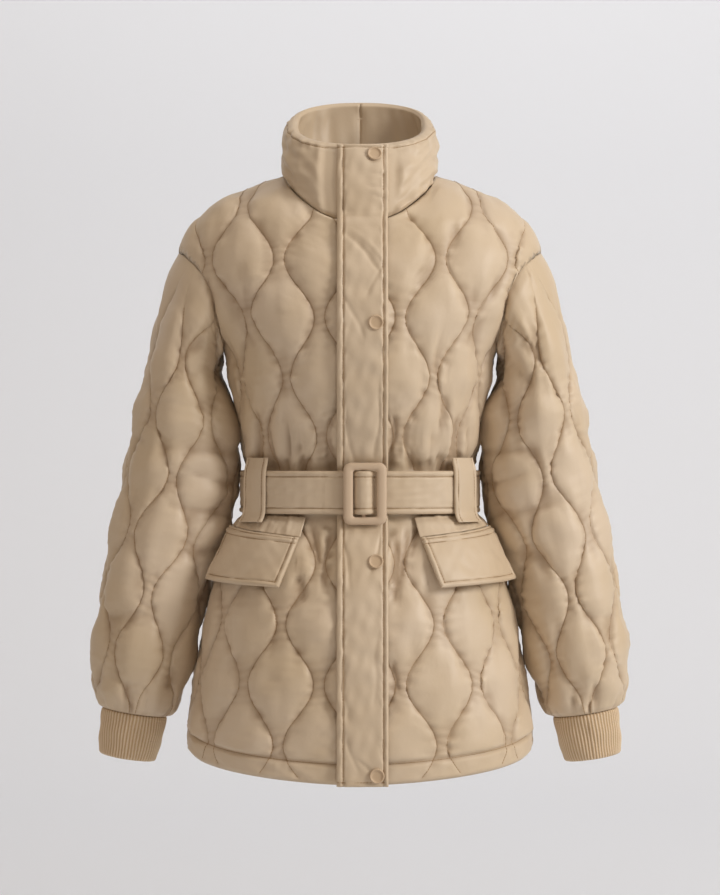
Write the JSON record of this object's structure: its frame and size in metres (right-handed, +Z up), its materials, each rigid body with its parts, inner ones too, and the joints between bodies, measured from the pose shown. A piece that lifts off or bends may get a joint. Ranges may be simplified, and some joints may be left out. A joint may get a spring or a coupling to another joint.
{
  "type": "quilted jacket",
  "caption": "Belted quilted jacket with a high funnel collar, drop-shoulder sleeves gathered into rib cuffs, snap placket and pocket flaps, held open as if worn",
  "frame": {"origin": "middle of the neck at the height of the shoulder points, where the wearer's shoulders hold the jacket", "axes": "+X to the wearer's left, +Y to the back, +Z up"},
  "size_m": [0.5916, 0.2998, 0.7432],
  "materials": {
    "quilted_shell": "matt-satin woven shell, wave quilted over padding",
    "plain_cloth": "the same woven cloth, not quilted, topstitched",
    "rib_knit": "matt rib knit",
    "covered_hardware": "hard core covered in the shell cloth"
  },
  "bodies": {
    "root": {"front_left": "quilted_shell", "front_right": "quilted_shell", "back": "quilted_shell", "sleeve_left": "quilted_shell", "sleeve_right": "quilted_shell", "cuff_left": "rib_knit", "cuff_right": "rib_knit", "collar": "plain_cloth", "placket": "plain_cloth", "snap_1": "covered_hardware", "snap_2": "covered_hardware", "snap_3": "covered_hardware", "snap_4": "covered_hardware", "belt": "plain_cloth", "buckle": "covered_hardware", "flap_left": "plain_cloth", "flap_right": "plain_cloth", "patch_left": "plain_cloth", "patch_right": "plain_cloth", "loop_left": "plain_cloth", "loop_right": "plain_cloth"}
  },
  "joints": []
}
